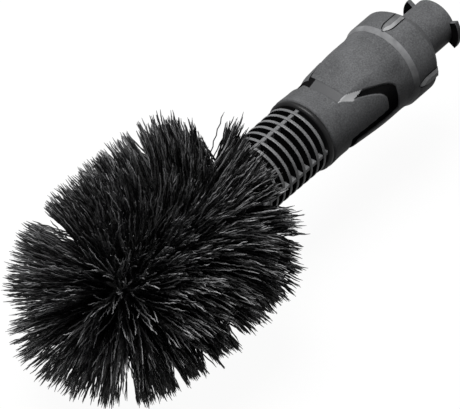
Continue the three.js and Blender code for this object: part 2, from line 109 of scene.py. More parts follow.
def ranged(tree, value, start, end, low=0, high=1):
    """A value that runs from start to end while the given one runs from low to high."""
    node = tree.nodes.new("ShaderNodeMapRange")
    settings = {"Value": value, "From Min": low, "From Max": high, "To Min": start, "To Max": end}
    for name, setting in settings.items():
        feed(tree, node.inputs[name], setting)
    return node.outputs["Result"]


mirrored_share = 0.4


def background_seen(tree):
    """How much of the white background a ray sees: all of it from the camera, less in mirrors."""
    rays = tree.nodes.new("ShaderNodeLightPath").outputs
    mirrored = reckoned(tree, "MAXIMUM", rays["Is Glossy Ray"], rays["Is Transmission Ray"])
    dimmed = reckoned(tree, "MULTIPLY", mirrored, mirrored_share)
    return reckoned(tree, "MAXIMUM", rays["Is Camera Ray"], dimmed)


white = (1, 1, 1, 1)
floor_colour = (0.05, 0.05, 0.05, 1)
floor_glow = 0.955
floor_size = 8

floor_bm = bmesh.new()
bmesh.ops.create_grid(floor_bm, x_segments=1, y_segments=1, size=floor_size / 2)
floor_mesh = bpy.data.meshes.new("floor")
floor_bm.to_mesh(floor_mesh)
floor_bm.free()
floor = bpy.data.objects.new("floor", floor_mesh)
bpy.context.scene.collection.objects.link(floor)

floor_material, tree, shader = new_material("pale_floor")
shader.inputs["Base Color"].default_value = floor_colour
shader.inputs["Roughness"].default_value = 1
shader.inputs["Specular IOR Level"].default_value = 0
shader.inputs["Emission Color"].default_value = white
glow = reckoned(tree, "MULTIPLY", background_seen(tree), floor_glow)
tree.links.new(glow, shader.inputs["Emission Strength"])
floor_mesh.materials.append(floor_material)

# The world is white to the camera, and lends the brush next to no light.
world_light = 0.02
world = bpy.data.worlds.new("studio")
world.use_nodes = True
bpy.context.scene.world = world
tree = world.node_tree
sky = tree.nodes["Background"]
sky.inputs["Color"].default_value = white
tree.links.new(ranged(tree, background_seen(tree), world_light, 1), sky.inputs["Strength"])

# ---- Bayonet coupling ----
# One moulding in dark grey glass-filled nylon with an eroded texture: the spigot with its two lugs,
# the domed shoulder with four ribs, and the round rear body that the grip sleeve plugs into.

axis_height = (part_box("inlet_nipple")[0].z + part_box("inlet_nipple")[1].z) / 2
millimetre = 0.001
# Pieces are made in millimetres, in a frame that starts in the middle of the bayonet's mouth.
tool_frame = Matrix.Translation((mouth, 0, axis_height)) @ Matrix.Scale(millimetre, 4)


def settled(bm, name, material):
    """Puts a finished bmesh in the scene as a piece of the brush."""
    bmesh.ops.recalc_face_normals(bm, faces=bm.faces)
    bm.transform(tool_frame)
    mesh = bpy.data.meshes.new(name)
    bm.to_mesh(mesh)
    bm.free()
    mesh.shade_smooth()
    mesh.materials.append(material)
    piece = bpy.data.objects.new(name, mesh)
    bpy.context.scene.collection.objects.link(piece)
    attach(piece, "root")
    return piece


def spin_profile(bm, profile, steps, degrees=360):
    """Spins a closed outline of (place, radius) corners round the tool's axis."""
    corners = [bm.verts.new((place, 0, radius)) for place, radius in profile]
    edges = [bm.edges.new(pair) for pair in zip(corners, corners[1:] + corners[:1])]
    whole = degrees == 360
    start = [] if whole else [bm.faces.new(corners)]
    if not whole:
        turn = Matrix.Rotation(math.radians(-degrees / 2), 4, "X")
        bmesh.ops.transform(bm, matrix=turn, verts=corners)
    bmesh.ops.spin(
        bm,
        geom=corners + edges + start,
        cent=(0, 0, 0),
        axis=(1, 0, 0),
        angle=math.radians(degrees),
        steps=steps,
        use_merge=whole,
    )
    bmesh.ops.remove_doubles(bm, verts=bm.verts, dist=1e-4)


def turn_and_add(moulding_bm, part_bm, degrees):
    """Turns a part round the tool's axis and adds it to the moulding that it belongs to."""
    turn = Matrix.Rotation(math.radians(-degrees), 3, "X")
    bmesh.ops.rotate(part_bm, verts=part_bm.verts, matrix=turn)
    part_mesh = bpy.data.meshes.new("part")
    part_bm.to_mesh(part_mesh)
    part_bm.free()
    moulding_bm.from_mesh(part_mesh)
    bpy.data.meshes.remove(part_mesh)


least_turn = 1e-4


def run_one_way(mesh):
    """Makes each edge run the same way round the axis, or else along it or outwards. Between two
    finishes, an edge's direction decides which of them the middle of its rounding gets."""
    ends = np.empty(2 * len(mesh.edges), np.int32)
    mesh.edges.foreach_get("vertices", ends)
    ends = ends.reshape(-1, 2)
    corners = np.empty(3 * len(mesh.vertices))
    mesh.vertices.foreach_get("co", corners)
    x, y, z = corners.reshape(-1, 3).T
    angle = np.arctan2(y, z - axis_height)
    onward = x + np.hypot(y, z - axis_height)
    first, second = ends[:, 0], ends[:, 1]
    turn = (angle[second] - angle[first] + np.pi) % (2 * np.pi) - np.pi
    step = np.where(np.abs(turn) > least_turn, turn, onward[second] - onward[first])
    against = step > 0
    ends[against] = ends[against][:, ::-1]
    mesh.edges.foreach_set("vertices", ends.ravel())
    mesh.update()


def round_edges(piece, width, least_angle=30, segments=3):
    """No edge is quite sharp: each crease gets a small radius."""
    run_one_way(piece.data)
    bevel = piece.modifiers.new("rounded edges", "BEVEL")
    bevel.width = width * millimetre
    bevel.segments = segments
    bevel.limit_method = "ANGLE"
    bevel.angle_limit = math.radians(least_angle)
    bevel.use_clamp_overlap = True
    weighted = piece.modifiers.new("even shading", "WEIGHTED_NORMAL")
    weighted.keep_sharp = True


def clouds(tree, size, detail, roughness=0.5):
    """A cloudy pattern in a material, whose clouds have about this size in millimetres."""
    noise = tree.nodes.new("ShaderNodeTexNoise")
    noise.inputs["Scale"].default_value = 1 / (size * millimetre)
    noise.inputs["Detail"].default_value = detail
    noise.inputs["Roughness"].default_value = roughness
    place = tree.nodes.new("ShaderNodeTexCoord").outputs["Object"]
    tree.links.new(place, noise.inputs["Vector"])
    return noise.outputs["Fac"]


def mixed(tree, kind, share, first, second):
    """Two numbers, or two colours where the kind is RGBA, mixed by the share of the second."""
    node = tree.nodes.new("ShaderNodeMix")
    node.data_type = kind
    for name, value in (("Factor", share), ("A", first), ("B", second)):
        feed(tree, node.inputs[name], value)
    return node.outputs["Result"]


def tinted(colour, share):
    """A colour made darker or lighter, with the alpha that a shader asks for."""
    return (*[part * share for part in colour], 1)


def roughen(tree, shader, pattern, relief, strength=1):
    """Raises and sinks a material's surface by a pattern, by this many millimetres."""
    bump = tree.nodes.new("ShaderNodeBump")
    bump.inputs["Strength"].default_value = strength
    bump.inputs["Distance"].default_value = relief * millimetre
    tree.links.new(pattern, bump.inputs["Height"])
    tree.links.new(bump.outputs["Normal"], shader.inputs["Normal"])


mottle_size = 14
mottle_share = 0.35
mottle_contrast = 0.5
pattern_range = (0.3, 0.7)
gloss_change = 0.07


def moulded_plastic(name, colour, roughness, grain, relief, specular=0.5):
    """Plastic from an eroded mould: fine pits, faint flow mottling, and a slight change of gloss."""
    material, tree, shader = new_material(name)
    pits = clouds(tree, grain, detail=3, roughness=0.6)
    pattern = mixed(tree, "FLOAT", mottle_share, pits, clouds(tree, mottle_size, detail=4))
    lightness = ranged(tree, pattern, 0, 1, *pattern_range)
    dark, light = tinted(colour, 1 - mottle_contrast), tinted(colour, 1 + mottle_contrast)
    shade = mixed(tree, "RGBA", lightness, dark, light)
    tree.links.new(shade, shader.inputs["Base Color"])
    glossiest, dullest = roughness - gloss_change, roughness + gloss_change
    gloss = ranged(tree, pattern, glossiest, dullest, *pattern_range)
    tree.links.new(gloss, shader.inputs["Roughness"])
    roughen(tree, shader, pits, relief)
    shader.inputs["Specular IOR Level"].default_value = specular
    return material


grey_nylon = {
    "colour": (0.102, 0.1035, 0.107),
    "roughness": 0.5,
    "grain": 0.8,
    "relief": 0.09,
    "specular": 0.08,
}
grey_plastic = moulded_plastic("eroded_grey_plastic", **grey_nylon)
polished_grey = moulded_plastic(
    "polished_grey", (0.12, 0.121, 0.124), roughness=0.32, grain=8, relief=0.004, specular=0.5
)
# A dead black without gloss, painted where shade falls: on the lugs' locking faces, round the ribs,
# on the grip's band beside its strip and in its notch, and in the neck's gaps.
shade_painted_black = moulded_plastic(
    "shade_painted_black", (0.008, 0.008, 0.0084), roughness=0.9, grain=0.6, relief=0, specular=0
)
# The rear chamfer's lighter grey is a painted highlight.
chamfer_highlight_grey = moulded_plastic(
    "chamfer_highlight_grey", (0.18, 0.182, 0.187), roughness=0.4, grain=8, relief=0.004, specular=0.1
)
# A light grey for a painted highlight on one rib's flank.
highlight_painted_grey = moulded_plastic(
    "highlight_painted_grey", (0.42, 0.424, 0.43), roughness=0.3, grain=8, relief=0.004, specular=0.3
)
coupling_materials = (grey_plastic, polished_grey, shade_painted_black, chamfer_highlight_grey, highlight_painted_grey)
eroded, polished, shaded_painted, chamfered, lit_painted = range(len(coupling_materials))

spigot_radius = 12
spigot_bore = 9.8
spigot_length = 18.6
mouth_chamfer = 0.5
wall_start = 15.6
wall_end = 21.2
wall_hole = 5.7
shoulder_end = 28.1
rear_radius = 22.5
rear_end = 44
rear_bore = 19.9
chamfer_length = 3
chamfer_drop = 1.2
shoulder_foot = Vector((spigot_length, spigot_radius))
shoulder_turn = Vector((22.875, 19.35))
shoulder_top = Vector((shoulder_end, rear_radius))
shoulder_steps = 20
round_steps = 144


def shoulder_point(share):
    """A corner of the domed shoulder, which runs from the spigot to the rear body as a parabola."""
    first = shoulder_foot.lerp(shoulder_turn, share)
    return tuple(first.lerp(shoulder_turn.lerp(shoulder_top, share), share))


coupling_bm = bmesh.new()
spin_profile(
    coupling_bm,
    [
        (0, spigot_bore),
        (0, spigot_radius - mouth_chamfer),
        (mouth_chamfer, spigot_radius),
        *[shoulder_point(i / shoulder_steps) for i in range(shoulder_steps + 1)],
        (rear_end - chamfer_length, rear_radius),
        (rear_end, rear_radius - chamfer_drop),
        (rear_end, rear_bore),
        (shoulder_end, rear_bore),
        (wall_end, spigot_bore),
        (wall_end, wall_hole),
        (wall_start, wall_hole),
        (wall_start, spigot_bore),
    ],
    round_steps,
)
# The rear chamfer takes the lighter grey: a painted highlight.
for face in coupling_bm.faces:
    middle = face.calc_center_median()
    outside = middle.yz.length > rear_radius - chamfer_drop
    on_chamfer = outside and middle.x > rear_end - chamfer_length
    face.material_index = chamfered if on_chamfer else eroded

lug_root = spigot_radius - 1
lug_reach = 15.9
lug_thickness = 2.4
lug_span = 60
lug_steps = 16
# For each lug: how far it stands back from the mouth, and its place round the axis in degrees.
for setback, side in ((0.6, 90), (2.2, -90)):
    lug_front = setback + lug_thickness
    lug_corners = [(setback, lug_root), (setback, lug_reach)]
    lug_corners += [(lug_front, lug_reach), (lug_front, lug_root)]
    lug_bm = bmesh.new()
    spin_profile(lug_bm, lug_corners, lug_steps, lug_span)
    # The face that locks lies in the shade of the lug, and is painted black as that shade.
    for face in lug_bm.faces:
        locks = min(vert.co.x for vert in face.verts) > lug_front - 0.1
        face.material_index = shaded_painted if locks else eroded
    turn_and_add(coupling_bm, lug_bm, side)

rib_start = 27.5
rib_length = 13.6
rib_tip = rib_start + rib_length
rib_half_width = 2.5
rib_point = 5
rib_root = 2
rib_height = 1.3
rib_flank = 1.2
flank_foot = 0.1
rib_count = 4
line_width = 0.5
line_height = rear_radius - 0.03
# The rounded nose of a rib: how far behind its tip each corner lies, and how far to the side.
rib_nose = [(3.4, 2.2), (1.7, 1.6), (0.5, 0.8)]
rib_outline = [(rib_start, -rib_half_width), (rib_tip - rib_point, -rib_half_width)]
rib_outline += [(rib_tip - back, -side) for back, side in rib_nose]
rib_outline += [(rib_tip, 0)]
rib_outline += [(rib_tip - back, side) for back, side in reversed(rib_nose)]
rib_outline += [(rib_tip - rib_point, rib_half_width), (rib_start, rib_half_width)]
# The dark line round a rib is painted shade: a thin black face under it, a little longer and wider
# than the rib.
longer = (rib_length + line_width) / rib_length
wider = (rib_half_width + line_width) / rib_half_width
line_outline = [(rib_start + (x - rib_start) * longer, y * wider) for x, y in rib_outline]

for rib in range(rib_count):
    rib_bm = bmesh.new()
    corners = [rib_bm.verts.new((x, y, rear_radius - rib_root)) for x, y in rib_outline]
    sole = rib_bm.faces.new(corners)
    raised = bmesh.ops.extrude_face_region(rib_bm, geom=[sole], use_keep_orig=True)["geom"]
    top = next(item for item in raised if isinstance(item, bmesh.types.BMFace))
    bmesh.ops.translate(rib_bm, verts=top.verts, vec=(0, 0, rib_root - flank_foot))
    bmesh.ops.inset_region(rib_bm, faces=[top], thickness=rib_flank, use_even_offset=True)
    bmesh.ops.translate(rib_bm, verts=top.verts, vec=(0, 0, rib_height + flank_foot))
    rib_bm.normal_update()
    # One flank of the uppermost rib has a painted highlight, light grey where the light catches it.
    for face in rib_bm.faces:
        right_flank = face.normal.y > 0.3 and face.calc_center_median().z > rear_radius
        face.material_index = lit_painted if rib == 0 and right_flank else polished
    corners = [rib_bm.verts.new((x, y, line_height)) for x, y in line_outline]
    rib_bm.faces.new(corners).material_index = shaded_painted
    turn_and_add(coupling_bm, rib_bm, 360 / rib_count * rib)

coupling = settled(coupling_bm, "moulded_coupling", grey_plastic)
for finish in coupling_materials[1:]:
    coupling.data.materials.append(finish)
round_edges(coupling, 0.3)
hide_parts("bayonet_coupling")

# ---- Water inlet ----
# A turned brass nipple stands in the spigot's mouth with a rubber ring and a backing ring in its
# groove. A steel clip holds it behind the wall, and the pressure reducer, its seal and the rear end
# of the water tube, with a seal and a gland, sit in its rear cup.

mark_depth = 0.01
tarnish_size = 2.5


def turned_metal(name, colour, roughness, pitch):
    """Metal off a lathe: fine rings of tool marks across the axis, and a faint tarnish."""
    material, tree, shader = new_material(name)
    tarnish = clouds(tree, tarnish_size, detail=4)
    shade = mixed(tree, "RGBA", tarnish, tinted(colour, 0.75), tinted(colour, 1))
    tree.links.new(shade, shader.inputs["Base Color"])
    gloss = ranged(tree, tarnish, roughness + 0.1, roughness - 0.05)
    tree.links.new(gloss, shader.inputs["Roughness"])
    shader.inputs["Metallic"].default_value = 1
    marks = tree.nodes.new("ShaderNodeTexWave")
    marks.bands_direction = "X"
    marks.inputs["Scale"].default_value = 1 / (pitch * millimetre)
    marks.inputs["Distortion"].default_value = 1.5
    place = tree.nodes.new("ShaderNodeTexCoord").outputs["Object"]
    tree.links.new(place, marks.inputs["Vector"])
    roughen(tree, shader, marks.outputs["Fac"], mark_depth, strength=0.4)
    return material


brass_metal = turned_metal("turned_brass", (0.48, 0.30, 0.09), roughness=0.32, pitch=0.12)
steel_metal = turned_metal("spring_steel", (0.50, 0.51, 0.53), roughness=0.28, pitch=0.2)
rubber = moulded_plastic(
    "seal_rubber", (0.012, 0.012, 0.012), roughness=0.7, grain=0.3, relief=0.02
)
milky_plastic = moulded_plastic(
    "milky_tube", (0.68, 0.71, 0.68), roughness=0.35, grain=1.5, relief=0.01
)
milky_shader = milky_plastic.node_tree.nodes["Principled BSDF"]
milky_shader.inputs["Subsurface Weight"].default_value = 0.3
milky_shader.inputs["Subsurface Scale"].default_value = 0.002
black_plastic = moulded_plastic(
    "black_plastic", (0.012, 0.012, 0.0125), roughness=0.4, grain=0.6, relief=0.012, specular=0.25
)


def carry_over(material, *names):
    """CAD pieces whose shape is right as it is keep it, and get their real finish."""
    for name in names:
        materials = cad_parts[name].data.materials
        materials.clear()
        materials.append(material)


nipple_start = 2.6
nipple_chamfer = 0.5
nipple_bore = 1.8
nipple_radius = 5.4
groove_radius = 4.1
# Where the grooves for the rubber ring and for the clip start and end.
ring_groove = (4.0, 7.2)
clip_groove = (13.8, 15.3)
cup_start = 21.5
cup_floor = 24.9
cup_end = 37.9
cup_radius = 8.0
cup_bore = 6.6
nipple_bm = bmesh.new()
spin_profile(
    nipple_bm,
    [
        (nipple_start, nipple_bore),
        (nipple_start, nipple_radius - nipple_chamfer),
        (nipple_start + nipple_chamfer, nipple_radius),
        (ring_groove[0], nipple_radius),
        (ring_groove[0], groove_radius),
        (ring_groove[1], groove_radius),
        (ring_groove[1], nipple_radius),
        (clip_groove[0], nipple_radius),
        (clip_groove[0], groove_radius),
        (clip_groove[1], groove_radius),
        (clip_groove[1], nipple_radius),
        (cup_start, nipple_radius),
        (cup_start, cup_radius),
        (cup_end, cup_radius),
        (cup_end, cup_bore),
        (cup_floor, cup_bore),
        (cup_floor, nipple_bore),
    ],
    64,
)
nipple = settled(nipple_bm, "turned_nipple", brass_metal)
round_edges(nipple, 0.12, segments=2)
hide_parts("inlet_nipple")

ring_middle = 5.0
ring_hole = 4.25
ring_section = 0.85
o_ring_bm = bmesh.new()
corners = bmesh.ops.create_circle(o_ring_bm, segments=16, radius=ring_section)["verts"]
bmesh.ops.rotate(o_ring_bm, verts=corners, matrix=Matrix.Rotation(math.pi / 2, 3, "X"))
bmesh.ops.translate(o_ring_bm, verts=corners, vec=(ring_middle, 0, ring_hole + ring_section))
bmesh.ops.spin(
    o_ring_bm,
    geom=corners + o_ring_bm.edges[:],
    axis=(1, 0, 0),
    cent=(0, 0, 0),
    angle=2 * math.pi,
    steps=64,
    use_merge=True,
)
o_ring = settled(o_ring_bm, "nipple_seal_ring", rubber)
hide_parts("nipple_o_ring")

carry_over(milky_plastic, "nipple_backing_ring", "water_tube")
carry_over(steel_metal, "nipple_clip")
carry_over(brass_metal, "pressure_reducer")
carry_over(rubber, "reducer_seal", "tube_rear_seal")
carry_over(black_plastic, "tube_gland")

# ---- Grip sleeve ----
# A waisted moulding in the same grey plastic, whose round tail a steel ring locks in the coupling.
# Its nearly flat panel stands proud above, and a finger scoop lies at each side. A band polished in
# the mould runs as a strip in front of the panel, and round the scoops.

grip_start = 44.05
grip_end = 101.1
grip_chamfer = 0.7
grip_front_radius = 19.2
grip_waist_radius = 18.9
grip_swell_radius = 20.8
grip_rear_radius = 21.3
grip_bore = 15.9
tail_start = 35.3
tail_radius = 19.6
tail_bore = 17.4
tail_floor = 47.3
# Places on the sleeve's outside are distances from its front edge, and angles are measured from
# the middle of the panel.
grip_waist_place = 8.4
grip_swell_place = 44
grip_rear_place = 52.8
grip_rear_edge = 56.8
panel_rise = 1
panel_half_angle = 30
panel_foot_angle = 56
panel_flatness = 0.8
flat_start = 2
underside_rise = 0.5
scoop_angle = 82
scoop_floor_angle = 96
scoop_floor_slope = 5
strip_front = 12.9
strip_back = 18.7
strip_start_angle = -23
band_depth = 0.5
band_edge = 0.45
band_arm = 14
band_rounding = 9
# Each edge of the band: its place along the strip, how far back it may go, how fast and from which
# angle it goes back along the panel's flank, and the angle at which it is in front again.
inner_edge = (strip_front, 38.6, 0.82, 32, scoop_floor_angle)
outer_edge = (strip_back, 46.4, 0.96, 30, scoop_floor_angle + band_arm)
# The facet at the strip's right end is a slanted four-sided face, wider than the band behind it.
facet_flare = 0.5
facet_start_angle = 32
facet_start_slant = 0.28
facet_end_place = 20.2
facet_end_angle = 44.8
facet_end_slant = 0.63
# At its left end the strip runs out in a notch, painted black as shade. Its places and its angles to
# the left say where it begins, reaches its depth, begins to rise and ends.
notch_depth = 0.9
notch_places = (strip_front - 3, strip_front + 1, strip_back - 1, strip_back + 5)
notch_angles = (panel_half_angle, panel_half_angle + 12, 70, 100)
notch_back_angle = -62
grip_steps = 288
grip_stations = 190


def ease(value, low, high):
    """Goes gently from 0 at low to 1 at high."""
    share = np.clip((value - low) / (high - low), 0, 1)
    return share * share * (3 - 2 * share)


def swell(value, start, full, fading, end):
    """Goes gently from 0 up to 1, and down to 0 again."""
    return ease(value, start, full) * (1 - ease(value, fading, end))


def mix(a, b, share):
    return a + (b - a) * share


def smooth_least(a, b, rounding):
    """The smaller of two values, with the corner between them rounded."""
    share = np.clip(0.5 + (b - a) / (2 * rounding), 0, 1)
    return mix(b, a, share) - rounding * share * (1 - share)


def band_place(angle, front, back, flare, flank_angle, floor_angle):
    """One edge of the polished band, as a distance from the sleeve's front edge."""
    flank = front + flare * np.maximum(0, angle - flank_angle)
    arm = front + scoop_floor_slope * np.maximum(0, floor_angle - angle)
    nearer = smooth_least(smooth_least(flank, back, band_rounding), arm, band_rounding)
    return np.maximum(front, nearer)


def facet_stop(place):
    """The angle at which the facet's slanted right side lies, at this place."""
    return facet_end_angle - facet_end_slant * (place - facet_end_place)


def grip_surface(place, angle):
    """The sleeve's radius at this place and angle, and how far they lie in the polished band."""
    waist = mix(grip_front_radius, grip_waist_radius, ease(place, 0, grip_waist_place))
    low = mix(waist, grip_swell_radius, ease(place, grip_waist_place, grip_swell_place))
    rise = panel_rise * (1 - ease(angle, panel_half_angle, panel_foot_angle))
    high = low + np.maximum(rise, underside_rise * ease(angle, scoop_angle, 180))
    high = mix(high, grip_rear_radius, ease(place, grip_rear_place, grip_rear_edge))

    # The sleeve is low in front of the band and high behind it, and the band slopes between them.
    facet_edge = strip_front + facet_flare * np.maximum(0, angle - panel_half_angle)
    inner = band_place(angle, *inner_edge)
    inner = np.where(angle < facet_end_angle, np.minimum(inner, facet_edge), inner)
    outer = band_place(angle, *outer_edge)
    across = np.clip((place - inner) / np.maximum(outer - inner, 0.1), 0, 1)
    bare = mix(low, high, across)

    on_panel = np.radians(np.minimum(angle, panel_half_angle))
    flat = math.cos(math.radians(panel_half_angle)) / np.cos(on_panel)
    flat_share = swell(place, flat_start, strip_front, strip_back, grip_rear_place)
    bare = bare * mix(1, flat, panel_flatness * flat_share)

    entering = np.clip((place - inner) / band_edge, 0, 1)
    leaving = np.clip((outer - place) / band_edge, 0, 1)
    inside = np.minimum(entering, leaving)
    return bare - band_depth * inside, np.clip(inside * 2 - 0.5, 0, 1)


grip_bm = bmesh.new()
# The outside is spun far out, and then each of its corners is set to its own radius.
outer_mark = 40
outer_places = [
    mix(grip_end - grip_chamfer, grip_start, i / (grip_stations - 1)) for i in range(grip_stations)
]
spin_profile(
    grip_bm,
    [
        (grip_end, grip_bore),
        (grip_end, grip_front_radius - grip_chamfer),
        *[(place, outer_mark) for place in outer_places],
        (grip_start, tail_radius),
        (tail_start, tail_radius),
        (tail_start, tail_bore),
        (tail_floor, tail_bore),
        (tail_floor, grip_bore),
    ],
    grip_steps,
)
band_layer = grip_bm.verts.layers.float.new("band")
facet_layer = grip_bm.verts.layers.float.new("facet")
skin = [vert for vert in grip_bm.verts if vert.co.yz.length > outer_mark - 1]
places = np.array([grip_end - vert.co.x for vert in skin])
angles = np.array([math.degrees(math.atan2(vert.co.y, vert.co.z)) for vert in skin])
radii, band = grip_surface(places, np.abs(angles))
radii = radii - notch_depth * swell(places, *notch_places) * swell(-angles, *notch_angles)
facet_start = facet_start_angle - facet_start_slant * (places - strip_front)
facet = band * (angles > facet_start) * (angles < facet_stop(places))
radii = radii + band_depth * facet
for vert, radius, band_value, facet_value in zip(skin, radii, band, facet):
    vert.co.yz = vert.co.yz.normalized() * radius
    vert[band_layer] = band_value
    vert[facet_layer] = facet_value

# The band is painted black beside the strip, and so is the notch: painted shade, for the dark that
# they reflect.
for face in grip_bm.faces:
    middle = face.calc_center_median()
    place = grip_end - middle.x
    angle = math.degrees(math.atan2(middle.y, middle.z))
    in_band = min(vert[band_layer] for vert in face.verts) > 0.5
    beside_strip = angle > facet_stop(place) or angle < strip_start_angle
    outside = middle.yz.length > grip_bore + 1
    in_notch = strip_front < place < strip_back and notch_back_angle < angle < strip_start_angle
    face.material_index = int((in_band and beside_strip) or (outside and in_notch))

strip_grey = (0.085, 0.086, 0.089, 1)
strip_roughness = 0.3
# The facet's light grey is a painted highlight.
facet_highlight_painted = (0.44, 0.444, 0.45, 1)


def marked(tree, mark):
    """The mark that a mesh carries at each of its corners, for its material to read."""
    node = tree.nodes.new("ShaderNodeAttribute")
    node.attribute_name = mark
    return node.outputs["Fac"]


def polish_band(material):
    """Where the mesh is marked as band, the mould was polished: the plastic is darker, and evenly
    glossy, and has no pits. Where it is marked as facet too, it is light: a painted highlight."""
    tree = material.node_tree
    shader = tree.nodes["Principled BSDF"]
    in_band = marked(tree, "band")
    band_colour = mixed(tree, "RGBA", marked(tree, "facet"), strip_grey, facet_highlight_painted)
    for name, kind, polish in (
        ("Base Color", "RGBA", band_colour),
        ("Roughness", "FLOAT", strip_roughness),
    ):
        eroded_value = shader.inputs[name].links[0].from_socket
        tree.links.new(mixed(tree, kind, in_band, eroded_value, polish), shader.inputs[name])
    pits = shader.inputs["Normal"].links[0].from_node
    tree.links.new(reckoned(tree, "SUBTRACT", 1, in_band), pits.inputs["Strength"])


grip_plastic = moulded_plastic("grip_plastic", **grey_nylon)
polish_band(grip_plastic)
grip = settled(grip_bm, "moulded_grip", grip_plastic)
grip.data.materials.append(shade_painted_black)
round_edges(grip, 0.25, least_angle=40)
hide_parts("grip_sleeve")
carry_over(steel_metal, "sleeve_lock_ring")

# ---- Neck ----
# One black moulding: a flange against the sleeve, then ten rings round a smaller tube, tied by four
# bars. The rings make the neck light and give the fingers a second hold. Their rims are painted a
# satin grey as a painted sheen, and the ring sides and the gaps between them are painted black as
# shade. A liner stands in the tube.

neck_start = 89.5
neck_tail_radius = 15.6
neck_bore = 11.5
flange_start = 101.5
flange_end = 104.1
flange_radius = 19
flange_chamfer = 0.9
first_ring = 107
ring_pitch = 4.92
ring_width = 1.8
ring_radius = 17.85
ring_taper = 0.04
ring_count = 10
tube_radius = 13.2
cage_end = 152.18
end_wall = 2.4
spindle_hole = 5.9

rings = []
for k in range(ring_count):
    middle = first_ring + k * ring_pitch
    radius = ring_radius - k * ring_taper
    rings += [
        (middle - ring_width / 2, tube_radius),
        (middle - ring_width / 2, radius),
        (middle + ring_width / 2, radius),
        (middle + ring_width / 2, tube_radius if k < ring_count - 1 else spindle_hole),
    ]
neck_bm = bmesh.new()
spin_profile(
    neck_bm,
    [
        (neck_start, neck_tail_radius),
        (flange_start, neck_tail_radius),
        (flange_start, flange_radius),
        (flange_end - flange_chamfer, flange_radius),
        (flange_end, flange_radius - flange_chamfer),
        (flange_end, tube_radius),
        *rings,
        (cage_end - end_wall, spindle_hole),
        (cage_end - end_wall, neck_bore),
        (neck_start, neck_bore),
    ],
    round_steps,
)

bar_turn = -2.8
bar_width = 2.1
bar_count = 4
bar_start = flange_end - 0.5
bar_end = first_ring + (ring_count - 1) * ring_pitch
bar_top = ring_radius - 0.5
bar_foot = tube_radius - 1
for k in range(bar_count):
    bar = bmesh.ops.create_cube(neck_bm, size=1)["verts"]
    size = (bar_end - bar_start, bar_width, bar_top - bar_foot)
    bmesh.ops.scale(neck_bm, verts=bar, vec=size)
    middle = ((bar_end + bar_start) / 2, 0, (bar_top + bar_foot) / 2)
    bmesh.ops.translate(neck_bm, verts=bar, vec=middle)
    turn = Matrix.Rotation(math.radians(-360 / bar_count * k - bar_turn), 3, "X")
    bmesh.ops.rotate(neck_bm, verts=bar, matrix=turn, cent=(0, 0, 0))

neck_sheen_painted_grey = moulded_plastic(
    "neck_sheen_painted_grey", (0.15, 0.152, 0.156), roughness=0.34, grain=0.6, relief=0.012, specular=0.4
)
neck_materials = (neck_sheen_painted_grey, shade_painted_black, black_plastic)
on_rim, in_gap, on_flange = range(len(neck_materials))
# The rims carry the painted sheen; the tube and the rings' sides carry the painted shade.
for face in neck_bm.faces:
    middle = face.calc_center_median()
    in_tube = max(vert.co.yz.length for vert in face.verts) < tube_radius + 0.1
    ring_side = abs(face.normal.x) > 0.9 and middle.x > flange_end
    face.material_index = in_gap if in_tube or ring_side else on_rim
    if middle.x < flange_end + 0.1:
        face.material_index = on_flange
neck = settled(neck_bm, "moulded_neck", neck_sheen_painted_grey)
for finish in neck_materials[1:]:
    neck.data.materials.append(finish)
round_edges(neck, 0.45)
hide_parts("neck_cage")
carry_over(black_plastic, "neck_liner")

# ---- Bristle head: the core ----
# Four slices of black plastic on a hollow spindle that a steel clip and washer hold in the neck.
# Three are straight, and the last rounds off to the nose plug. The real slices are moulded with the
# holes that the tufts are stapled into, which are left out here.

core_radius = 12.6
head_start = 155.18
head_end = 243.18
dome_middle = head_end - core_radius
dome_steps = 14
slice_lengths = {"rear": 18, "middle": 18, "front": 18, "nose": 34}
slice_gap = 0.1
spindle_end = 235.48
plug_hole = 2.4
plug_recess = 0.25


def core_radius_at(place):
    """The core is straight up to the middle of its dome, and from there on it is half a ball."""
    share = min(max((place - dome_middle) / core_radius, 0), 1)
    return core_radius * math.sqrt(1 - share * share)


slice_start = head_start
for slice_name, slice_length in slice_lengths.items():
    slice_end = slice_start + slice_length
    if slice_name == "nose":
        turns = [math.pi / 2 * i / dome_steps for i in range(dome_steps)]
        dome_places = [dome_middle + core_radius * math.sin(turn) for turn in turns]
        outside = [(place, core_radius_at(place)) for place in dome_places]
        outside.append((head_end - plug_recess, plug_hole))
        inside = [(spindle_end, plug_hole), (spindle_end, spindle_hole)]
    else:
        outside = [(slice_end - slice_gap, core_radius)]
        inside = [(slice_end - slice_gap, spindle_hole)]
    core_bm = bmesh.new()
    spin_profile(
        core_bm,
        [(slice_start, spindle_hole), (slice_start, core_radius), *outside, *inside],
        96,
    )
    core = settled(core_bm, "core_" + slice_name, black_plastic)
    round_edges(core, 0.3)
    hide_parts(slice_name + "_bristles")
    slice_start = slice_end

plug_start = 229.2
plug_rim = 243.8
plug_radius = 2.1
plug_middle = 0.02
plug_height = 0.58
# The cap's rounded edge: how far in front of its rim each corner lies, and how far in.
plug_edge = [(0.35, 0.15), (0.5, 0.5)]
plug_bm = bmesh.new()
spin_profile(
    plug_bm,
    [
        (plug_start, plug_middle),
        (plug_start, plug_radius),
        (plug_rim, plug_radius),
        *[(plug_rim + front, plug_radius - inwards) for front, inwards in plug_edge],
        (plug_rim + plug_height, plug_middle),
    ],
    48,
)
plug = settled(plug_bm, "nose_cap", black_plastic)
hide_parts("nose_plug")

carry_over(black_plastic, "core_spindle")
carry_over(steel_metal, "spindle_clip", "core_washer")
carry_over(rubber, "tube_front_seal")

# ---- Bristle head: the tufts ----
# Each tuft is a bundle of crimped filaments of black nylon, folded at its middle and stapled into
# the core. The first rings are short and lean back along the neck, and the rings turn forwards to
# the nose. A real tuft has more and thinner filaments than the nineteen here.

brush_radius = 59.4
full_reach = brush_radius - core_radius
dome_reach = 45.5
